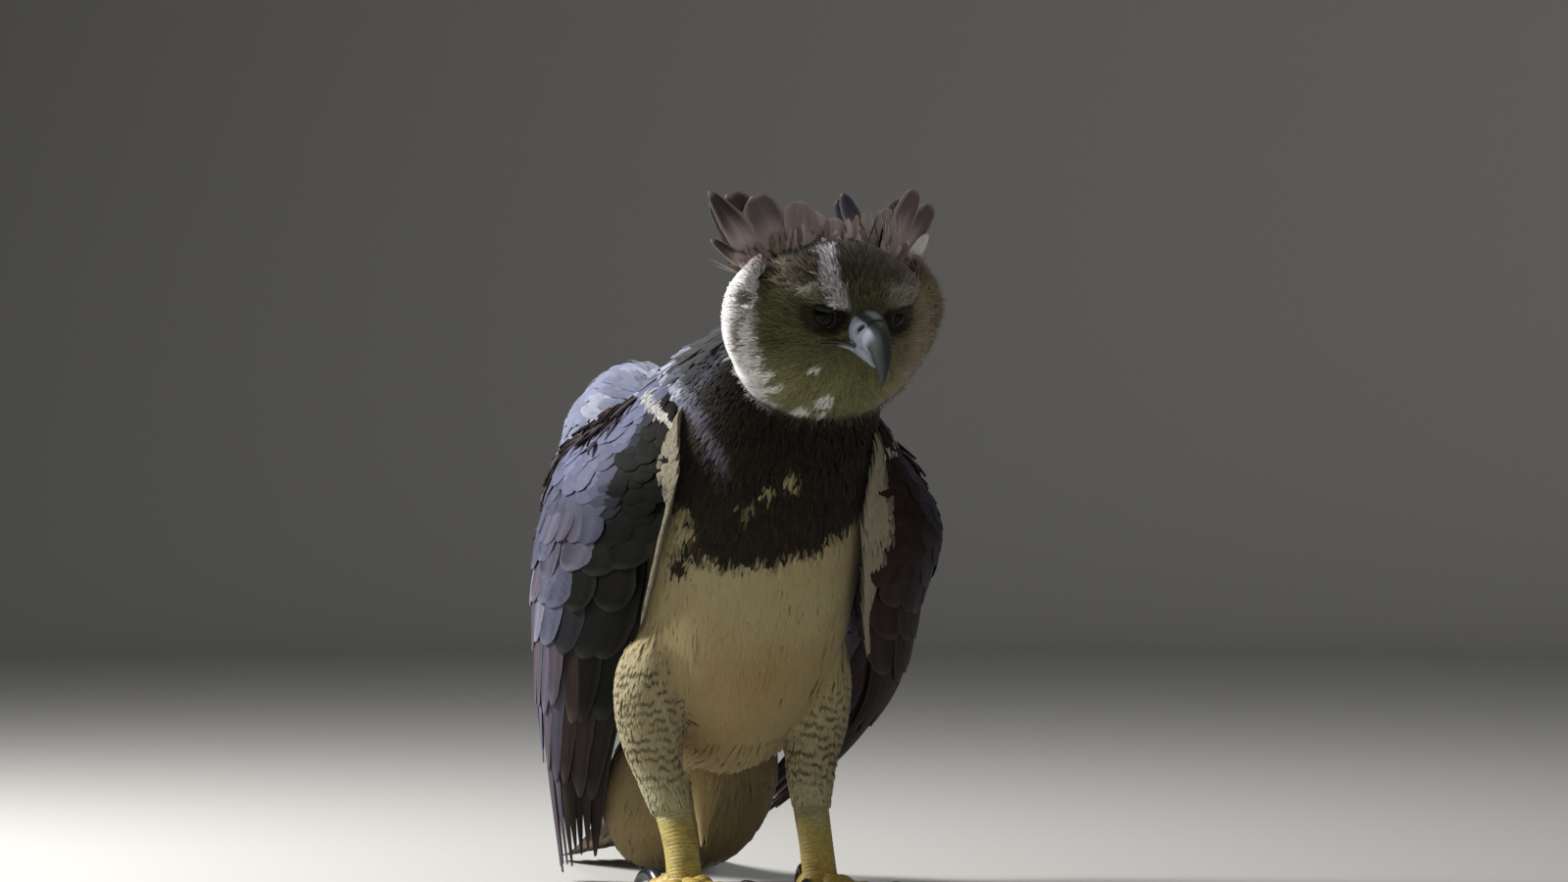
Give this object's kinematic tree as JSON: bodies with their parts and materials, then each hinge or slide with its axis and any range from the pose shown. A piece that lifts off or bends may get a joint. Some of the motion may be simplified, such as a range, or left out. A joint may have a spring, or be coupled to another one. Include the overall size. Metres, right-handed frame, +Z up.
{
  "type": "harpy eagle",
  "caption": "Still, life-size harpy eagle standing on the ground, wings folded and a little drooped, head turned to its left and tipped down, crest raised.",
  "frame": {"origin": "middle of the bird's box as seen from above, on the floor that it stands on", "axes": "+Z is up, the breast faces -Y and the bird's left side is +X"},
  "size_m": [0.3346, 0.7012, 0.6062],
  "materials": {
    "body_feathers": "soft feathers, slate grey back, blackish breast band and warm cream belly",
    "neck_feathers": "soft blackish slate feathers",
    "head_feathers": "soft grey-buff face, darker crown and crest, white ruff",
    "bill_horn": "satin dark slate horn",
    "eye": "wet, very dark brown",
    "wing_feathers": "slate black vanes with a faint violet-blue sheen",
    "tail_feathers": "dark vanes with grey bands, paler underneath",
    "thigh_feathers": "short white feathers with fine wavy black bars",
    "leg_skin": "scaled yellow skin",
    "claw_horn": "glossy black horn"
  },
  "bodies": {
    "root": {"torso": "body_feathers", "neck": "neck_feathers", "head": "head_feathers", "bill_upper": "bill_horn", "bill_lower": "bill_horn", "eye_left": "eye", "eye_right": "eye", "wing_left": "wing_feathers", "wing_right": "wing_feathers", "tail": "tail_feathers", "thigh_left": "thigh_feathers", "thigh_right": "thigh_feathers", "tarsus_left": "leg_skin", "tarsus_right": "leg_skin", "foot_left": "leg_skin", "foot_right": "leg_skin", "claw_inner_left": "claw_horn", "claw_middle_left": "claw_horn", "claw_outer_left": "claw_horn", "claw_hind_left": "claw_horn", "claw_inner_right": "claw_horn", "claw_middle_right": "claw_horn", "claw_outer_right": "claw_horn", "claw_hind_right": "claw_horn"}
  },
  "joints": []
}
